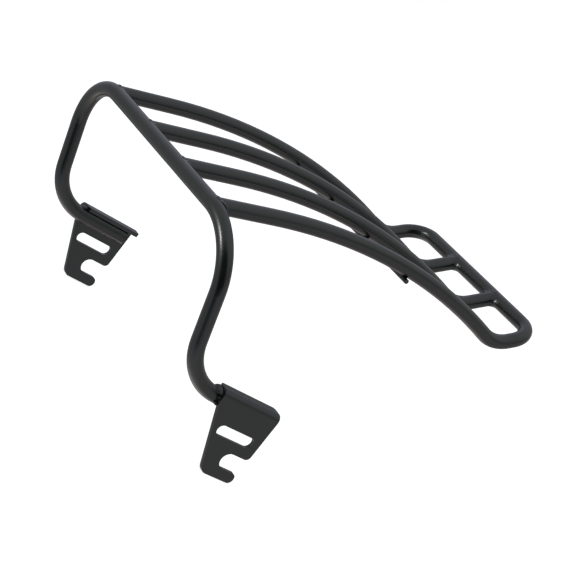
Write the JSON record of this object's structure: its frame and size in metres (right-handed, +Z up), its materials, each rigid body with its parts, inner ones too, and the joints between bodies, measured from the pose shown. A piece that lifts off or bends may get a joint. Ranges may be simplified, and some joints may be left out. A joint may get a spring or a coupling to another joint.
{
  "type": "motorcycle luggage rack",
  "caption": "Rigid welded rack of black round tube: arched slatted deck with an upswept tail, front hoop, and two hooked and slotted side plates.",
  "frame": {"origin": "Midway between the side plates, on the common axis of the two hook notches, where the motorcycle's docking bolts sit.", "axes": "+X to the front of the motorcycle (the hoop's side), +Y to its left, +Z up. Slots and flanges run along X."},
  "size_m": [0.373, 0.2992, 0.2209],
  "materials": {
    "black_powder_coat": "semi-gloss black powder coat over steel",
    "coated_weld": "weld bead under semi-gloss black powder coat"
  },
  "bodies": {
    "root": {"hoop_tube": "black_powder_coat", "loop_tube": "black_powder_coat", "deck_bar_left": "black_powder_coat", "deck_bar_right": "black_powder_coat", "side_plate_left": "black_powder_coat", "side_plate_right": "black_powder_coat", "cross_stay": "black_powder_coat", "header_weld_outer_left": "coated_weld", "header_weld_inner_left": "coated_weld", "header_weld_inner_right": "coated_weld", "header_weld_outer_right": "coated_weld", "rail_weld_left": "coated_weld", "rail_weld_right": "coated_weld", "plate_front_weld_left": "coated_weld", "plate_front_weld_right": "coated_weld", "plate_seam_weld_left": "coated_weld", "plate_seam_weld_right": "coated_weld", "stay_weld_outer_left": "coated_weld", "stay_weld_inner_left": "coated_weld", "stay_weld_inner_right": "coated_weld", "stay_weld_outer_right": "coated_weld"}
  },
  "joints": []
}
